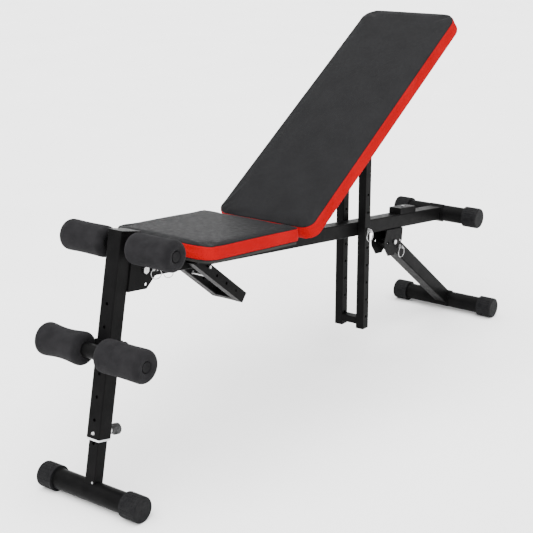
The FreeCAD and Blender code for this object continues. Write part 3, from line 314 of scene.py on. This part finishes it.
def subdivide(piece):
    """Makes a mesh one step finer and rounder."""
    modifier = piece.modifiers.new("finer", "SUBSURF")
    modifier.levels = 1
    modifier.render_levels = 1
    apply_modifiers(piece)


def pad_frame(mount):
    """The pad's own axes, from its surface: X across, Y along it to the rear, Z out of its top."""
    normal = Vector(mount["axis"]).normalized()
    across = Vector((1, 0, 0))
    along = normal.cross(across)
    turn = Matrix((across, along, normal)).transposed().to_4x4()
    return Matrix.Translation(Vector(mount["pos_m"])) @ turn


def shrink_pad(mesh, crown, inset):
    """Draws the pad in from its sides and its top, so that it swells back to its real size."""
    low, high = corners(mesh)
    middle = (low + high) / 2
    half = (high - low) / 2
    for vertex in mesh.vertices:
        for axis in (0, 1):
            reach = (half[axis] - inset) / half[axis]
            vertex.co[axis] = middle[axis] + (vertex.co[axis] - middle[axis]) * reach
        vertex.co.z = low.z + (vertex.co.z - low.z) * (half.z * 2 - crown) / (half.z * 2)


def swell_by_cloth(piece, held_below, most):
    """Inflates the cover with its underside held, and limits how far it moves."""
    rest = [vertex.co.copy() for vertex in piece.data.vertices]
    held = piece.vertex_groups.new(name="held")
    held.add([i for i, co in enumerate(rest) if co.z < held_below], 1.0, "REPLACE")
    cloth = piece.modifiers.new("cloth", "CLOTH")
    settings = cloth.settings
    settings.quality = 5
    settings.mass = 0.4
    settings.tension_stiffness = 30
    settings.compression_stiffness = 30
    settings.shear_stiffness = 10
    settings.bending_stiffness = 4
    settings.use_pressure = True
    settings.uniform_pressure_force = PRESSURE
    settings.vertex_group_mass = "held"
    settings.effector_weights.gravity = 0
    cloth.point_cache.frame_start = 1
    cloth.point_cache.frame_end = SWELL_FRAMES
    for step in range(1, SWELL_FRAMES + 1):
        bpy.context.scene.frame_set(step)
    depsgraph = bpy.context.evaluated_depsgraph_get()
    swollen = piece.evaluated_get(depsgraph).to_mesh()
    moved = [vertex.co.copy() for vertex in swollen.vertices]
    piece.modifiers.clear()
    piece.vertex_groups.clear()
    for vertex, start, end in zip(piece.data.vertices, rest, moved):
        shift = end - start
        length = shift.length
        if length > 1e-9:
            shift *= most * math.tanh(length / most) / length
        vertex.co = start + shift
    bpy.context.scene.frame_set(1)


def fit_between(piece, target_low, target_high):
    """Scales the swollen pad to the box between two corners."""
    low, high = corners(piece.data)
    for vertex in piece.data.vertices:
        for axis in range(3):
            share = (vertex.co[axis] - low[axis]) / (high[axis] - low[axis])
            vertex.co[axis] = target_low[axis] + share * (target_high[axis] - target_low[axis])


def cut_band(piece, seam):
    """Cuts a loop round the side at the seam's height, and colours the cover, band and lining."""
    for material in (MATERIALS["black_cover"], RED_VINYL, LINING):
        piece.data.materials.append(material)
    mesh = bmesh.new()
    mesh.from_mesh(piece.data)
    bmesh.ops.bisect_plane(
        mesh, geom=mesh.verts[:] + mesh.edges[:] + mesh.faces[:],
        plane_co=(0, 0, seam), plane_no=(0, 0, 1), dist=ON_SEAM,
    )
    mesh.normal_update()
    for face in mesh.faces:
        if face.calc_center_median().z > seam:
            face.material_index = 0
        elif face.normal.z < UNDERSIDE:
            face.material_index = 2
        else:
            face.material_index = 1
    mesh.to_mesh(piece.data)
    mesh.free()


def sink_seam(piece):
    """Sinks the loop between the cover and the band into a narrow groove."""
    mesh = bmesh.new()
    mesh.from_mesh(piece.data)
    mesh.normal_update()
    seam = [v.co.copy() for v in mesh.verts if {f.material_index for f in v.link_faces} == {0, 1}]
    tree = KDTree(len(seam))
    for index, spot in enumerate(seam):
        tree.insert(spot, index)
    tree.balance()
    shifts = []
    for vertex in mesh.verts:
        away = tree.find(vertex.co)[2]
        shifts.append(-vertex.normal * GROOVE_DEPTH * math.exp(-((away / GROOVE) ** 2)))
    for vertex, shift in zip(mesh.verts, shifts):
        vertex.co += shift
    mesh.to_mesh(piece.data)
    mesh.free()


def make_pad(name, node, mount_name, body, voxel, crown, seam, wrinkle):
    """A padded panel: a black cover on top, a red band round its side, a lining underneath."""
    base = pad_frame(MOUNTS[mount_name])
    mesh = NODES[node].data.copy()
    mesh.transform(base.inverted())
    low, high = corners(mesh)
    piece = bpy.data.objects.new(name, mesh)
    bpy.context.scene.collection.objects.link(piece)
    shrink_pad(mesh, crown, crown * INSET)
    remesh(piece, voxel)
    piece.data.materials.clear()
    cut_band(piece, seam - crown)
    held = low.z + HELD
    swell_by_cloth(piece, held, crown)
    fit_between(piece, low, high + Vector((0, 0, PROUD)))
    for vertex in piece.data.vertices:
        if vertex.co.z > held:
            vertex.co += vertex.normal * wrinkle * noise.noise(vertex.co * WRINKLES)
    subdivide(piece)
    sink_seam(piece)
    piece.data.shade_smooth()
    piece.matrix_world = base
    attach(piece, body)
    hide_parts(node)
    return piece


# ------------------------------------------------------------------ rollers
WORN_ROLLER = "lower_roller_right"
WORN_WAIST = 4.2 * MM
WAIST = 0.8 * MM
ROUNDED = 13 * MM  # radius of a sleeve's outer edges
BORE = 12.9 * MM
EDGE_STEPS = 6
SIDE_STEPS = 12
WAIST_POWER = 1.3  # above 1 gathers the waist towards the middle
DISH = ((1.2 * MM, 6 * MM), (2.5 * MM, 2 * MM), (5 * MM, 0))  # depth, and height above the bore
SEGMENTS = 72
RIPPLE = 0.5 * MM
RIPPLES = 30  # to the metre
APART = 7  # spreads the rollers' places in the noise, so that each ripples differently


def revolve(name, profile, centre):
    """A rippled ring about an axis along X, from the (x, radius) points of its section in order."""
    mesh = bmesh.new()
    rings = []
    for step in range(SEGMENTS):
        angle = 2 * math.pi * step / SEGMENTS
        ring = []
        for x, radius in profile:
            spot = Vector((x, radius * math.cos(angle), radius * math.sin(angle)))
            swell = RIPPLE * noise.noise(spot * RIPPLES + centre * APART)
            spot += Vector((0, math.cos(angle), math.sin(angle))) * swell
            ring.append(mesh.verts.new(centre + spot))
        rings.append(ring)
    count = len(profile)
    for step in range(SEGMENTS):
        here = rings[step]
        there = rings[(step + 1) % SEGMENTS]
        for index in range(count):
            after = (index + 1) % count
            mesh.faces.new((here[index], there[index], there[after], here[after]))
    bmesh.ops.recalc_face_normals(mesh, faces=mesh.faces)
    data = bpy.data.meshes.new(name)
    mesh.to_mesh(data)
    mesh.free()
    piece = bpy.data.objects.new(name, data)
    bpy.context.scene.collection.objects.link(piece)
    return piece


def foam_profile(inner, outer, radius, waist):
    """Section of a foam sleeve: drawn in at its waist, with rounded edges and dished ends."""
    side = 1 if outer > inner else -1
    length = abs(outer - inner)
    shoulder = radius - ROUNDED
    points = []
    for step in range(EDGE_STEPS + 1):
        angle = math.pi / 2 * step / EDGE_STEPS
        points.append((ROUNDED - ROUNDED * math.cos(angle), shoulder + ROUNDED * math.sin(angle)))
    for step in range(1, SIDE_STEPS):
        share = step / SIDE_STEPS
        sunk = waist * math.sin(math.pi * share) ** WAIST_POWER
        points.append((ROUNDED + (length - 2 * ROUNDED) * share, radius - sunk))
    for step in range(EDGE_STEPS + 1):
        angle = math.pi / 2 * (1 - step / EDGE_STEPS)
        across = length - ROUNDED + ROUNDED * math.cos(angle)
        points.append((across, shoulder + ROUNDED * math.sin(angle)))
    for depth, above in DISH:
        points.append((length - depth, BORE + above))
    points.append((length / 2, BORE))
    for depth, above in reversed(DISH):
        points.append((depth, BORE + above))
    return [(inner + side * x, r) for x, r in points]


def make_rollers():
    """Foam sleeves on their axles, one piece for each packed roller."""
    for level in ("upper", "lower"):
        for side in ("left", "right"):
            node = f"{level}_roller_{side}"
            low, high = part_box(node)
            centre = Vector(JOINTS[node + "_spin"]["pos_m"])
            radius = (high.z - low.z) / 2
            inner, outer = (low.x, high.x) if side == "left" else (high.x, low.x)
            waist = WORN_WAIST if node == WORN_ROLLER else WAIST
            piece = revolve(node + "_foam", foam_profile(inner, outer, radius, waist), centre)
            piece.data.materials.append(MATERIALS["black_foam"])
            piece.data.shade_smooth()
            subdivide(piece)
            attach(piece, node)
            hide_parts(node)


# ------------------------------------------------------------------ stage
FLOOR_HALF = 60
SKY = 1.1


def wide_light(name, towards, spread, strength):
    """An even, soft light from far off, as wide in the sky as its spread in degrees."""
    data = bpy.data.lights.new(name, "SUN")
    data.energy = strength
    data.angle = math.radians(spread)
    light = bpy.data.objects.new(name, data)
    light.rotation_euler = Vector(towards).to_track_quat("-Z", "Y").to_euler()
    bpy.context.scene.collection.objects.link(light)


def make_stage():
    """A plain pale floor under soft light from above, the front, one side and behind."""
    mesh = bpy.data.meshes.new("floor")
    outline = [(x * FLOOR_HALF, y * FLOOR_HALF, 0) for x, y in ((-1, -1), (1, -1), (1, 1), (-1, 1))]
    mesh.from_pydata(outline, [], [(0, 1, 2, 3)])
    floor = bpy.data.objects.new("floor", mesh)
    bpy.context.scene.collection.objects.link(floor)
    shader = Shader("pale_floor", (0.9, 0.9, 0.9), 0.95, specular=0.0)
    shader.colour(shader.noise(2), (0.89, 0.89, 0.89), (0.91, 0.91, 0.91))
    mesh.materials.append(shader.material)
    world = bpy.data.worlds.new("studio")
    world.use_nodes = True
    sky = world.node_tree.nodes["Background"].inputs
    sky["Color"].default_value = (1, 1, 1, 1)
    sky["Strength"].default_value = SKY
    bpy.context.scene.world = world
    wide_light("above", (-0.12, 0.2, -1), 80, 7.8)
    wide_light("front", (-0.45, 0.9, -0.6), 60, 2.4)
    wide_light("side", (0.9, 0.3, -0.7), 60, 0.3)
    wide_light("behind", (0.35, -0.9, -0.32), 60, 0.6)


make_camera()
dress_nodes()
make_pad(
    "seat_cushion", "seat_pad", "seat_surface", "seat",
    voxel=5 * MM, crown=3 * MM, seam=-3 * MM, wrinkle=0.3 * MM,
)
make_pad(
    "backrest_cushion", "backrest_pad", "backrest_surface", "backrest",
    voxel=6 * MM, crown=3.5 * MM, seam=-3 * MM, wrinkle=0.4 * MM,
)
make_rollers()
make_stage()
